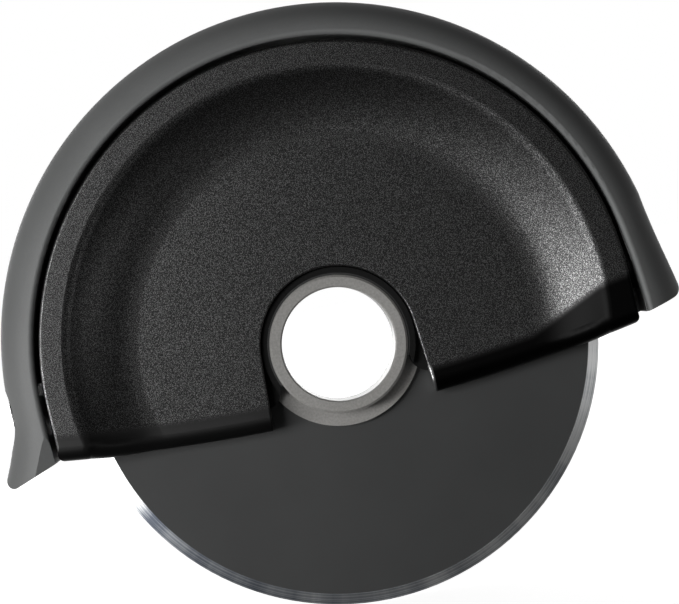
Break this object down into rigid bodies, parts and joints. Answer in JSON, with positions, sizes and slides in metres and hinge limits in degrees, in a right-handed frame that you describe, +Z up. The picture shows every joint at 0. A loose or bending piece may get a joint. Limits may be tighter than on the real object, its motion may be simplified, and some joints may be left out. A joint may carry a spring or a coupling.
{
  "type": "pizza cutter wheel",
  "caption": "Palm-held pizza cutter: a coated disc blade on an open hub, turning between dished shells under a horseshoe grip.",
  "frame": {"origin": "centre of the wheel's hub bore, in the middle of the blade's thickness", "axes": "+X to the right seen from the front, +Y along the axle towards the rear, +Z up to the top of the grip"},
  "size_m": [0.1333, 0.0278, 0.1152],
  "materials": {
    "coated_blade": "matte non-stick coating with a bare ground edge",
    "hub_grey": "moulded, semi-matte",
    "bearing_black": "moulded, satin",
    "bush_dark": "moulded, low friction",
    "screw_steel": "turned",
    "spring_steel": "pressed strip or drawn wire",
    "shell_black": "fine sparkling grain, smooth rolled lip",
    "core_grey": "moulded, satin",
    "grip_soft": "smooth matte soft touch",
    "bezel_chrome": "polished",
    "button_chrome": "polished with a soft brushed face"
  },
  "bodies": {
    "handle": {"front_bearing_plate": "bearing_black", "rear_bearing_plate": "bearing_black", "front_bearing_bush": "bush_dark", "rear_bearing_bush": "bush_dark", "front_plate_screws": "screw_steel", "rear_plate_screws": "screw_steel", "front_shell": "shell_black", "rear_shell": "shell_black", "rear_shell_screws": "screw_steel", "catch_plate": "spring_steel", "catch_screws": "screw_steel", "grip_core": "core_grey", "grip_cover": "grip_soft", "button_bezel": "bezel_chrome", "guide_bush": "bush_dark", "button_spring": "spring_steel"},
    "wheel": {"blade_disc": "coated_blade", "hub_front": "hub_grey", "hub_rear": "hub_grey"},
    "button": {"release_button": "button_chrome", "latch_bolt": "screw_steel", "bolt_clip": "spring_steel"}
  },
  "joints": [
    {"name": "wheel_spin", "type": "hinge", "parent": "handle", "child": "wheel", "pos_m": [0, 0, 0], "axis": [0, 1, 0], "continuous": true},
    {"name": "button_press", "type": "slide", "parent": "handle", "child": "button", "axis": [1, 0, 0], "range_m": [0, 0.002], "stiffness_N_per_m": 900, "springref_m": -0.0015, "deforming": ["button_spring"]}
  ]
}
